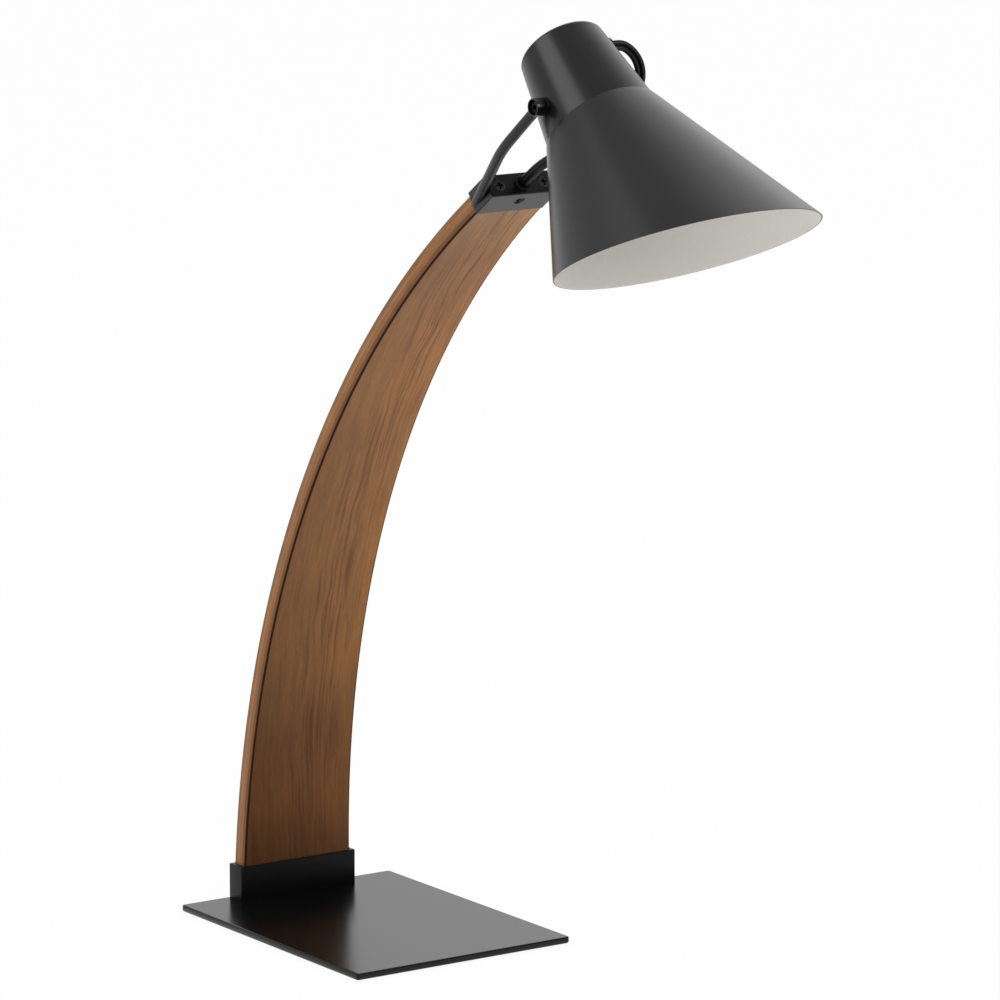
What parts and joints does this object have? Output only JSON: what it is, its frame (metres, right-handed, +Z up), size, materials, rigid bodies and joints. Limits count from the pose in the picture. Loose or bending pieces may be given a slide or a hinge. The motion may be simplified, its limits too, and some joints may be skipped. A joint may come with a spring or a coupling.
{
  "type": "table lamp",
  "caption": "Desk lamp with a flat steel base, a leaning bent-wood arm and a black conical shade that tilts between two round rods.",
  "frame": {"origin": "middle of the rest face under the base's pad", "axes": "+Z up, +X the way the arm leans and the shade points, +Y to the left of someone who looks along +X"},
  "size_m": [0.4843, 0.15, 0.5604],
  "materials": {
    "satin_black_steel": "satin black powder coat",
    "satin_black_rod": "satin black paint on round rod",
    "shade_black": "matt black outside, warm white inside",
    "felt": "black felt",
    "zinc_steel": "bright zinc plating",
    "black_fastener": "black oxide",
    "walnut": "walnut veneer, satin lacquer",
    "black_cable": "smooth black flexible sheath",
    "black_rubber": "moulded rubber",
    "nylon": "black nylon",
    "brass": "plain turned brass",
    "phenolic": "moulded phenolic",
    "bulb_metal": "bright drawn metal",
    "opal_glass": "opal white glass"
  },
  "bodies": {
    "stand": {"base_plate": "satin_black_steel", "base_pad": "felt", "foot_socket": "satin_black_steel", "base_screws": "zinc_steel", "arm_board": "walnut", "arm_cord_cover": "walnut", "arm_lead": "black_cable", "mains_inlet": "black_rubber", "end_cap": "satin_black_steel", "end_cap_screws": "black_fastener", "front_cap_screw": "black_fastener", "lead_bush": "black_rubber", "yoke_rod_left": "satin_black_rod", "yoke_rod_right": "satin_black_rod", "pivot_sleeve_left": "satin_black_rod", "pivot_sleeve_right": "satin_black_rod", "head_lead": "black_cable"},
    "head": {"shade_neck": "shade_black", "shade_cone": "shade_black", "pivot_screws": "black_fastener", "saddle_washers": "nylon", "pivot_nuts": "zinc_steel", "lead_gland": "black_rubber", "holder_lead": "black_cable", "holder_nipple": "brass", "nipple_top_nut": "brass", "nipple_lock_nut": "brass", "holder_cap": "phenolic", "holder_body": "phenolic", "holder_shell": "brass", "holder_contact": "brass", "bulb_cap": "bulb_metal", "bulb_contact": "bulb_metal", "bulb_glass": "opal_glass"}
  },
  "joints": [
    {"name": "shade_tilt", "type": "hinge", "parent": "stand", "child": "head", "pos_m": [0.2205, 0, 0.5162], "axis": [0, -1, 0], "range_deg": [-50, 50], "deforming": ["head_lead"]}
  ]
}
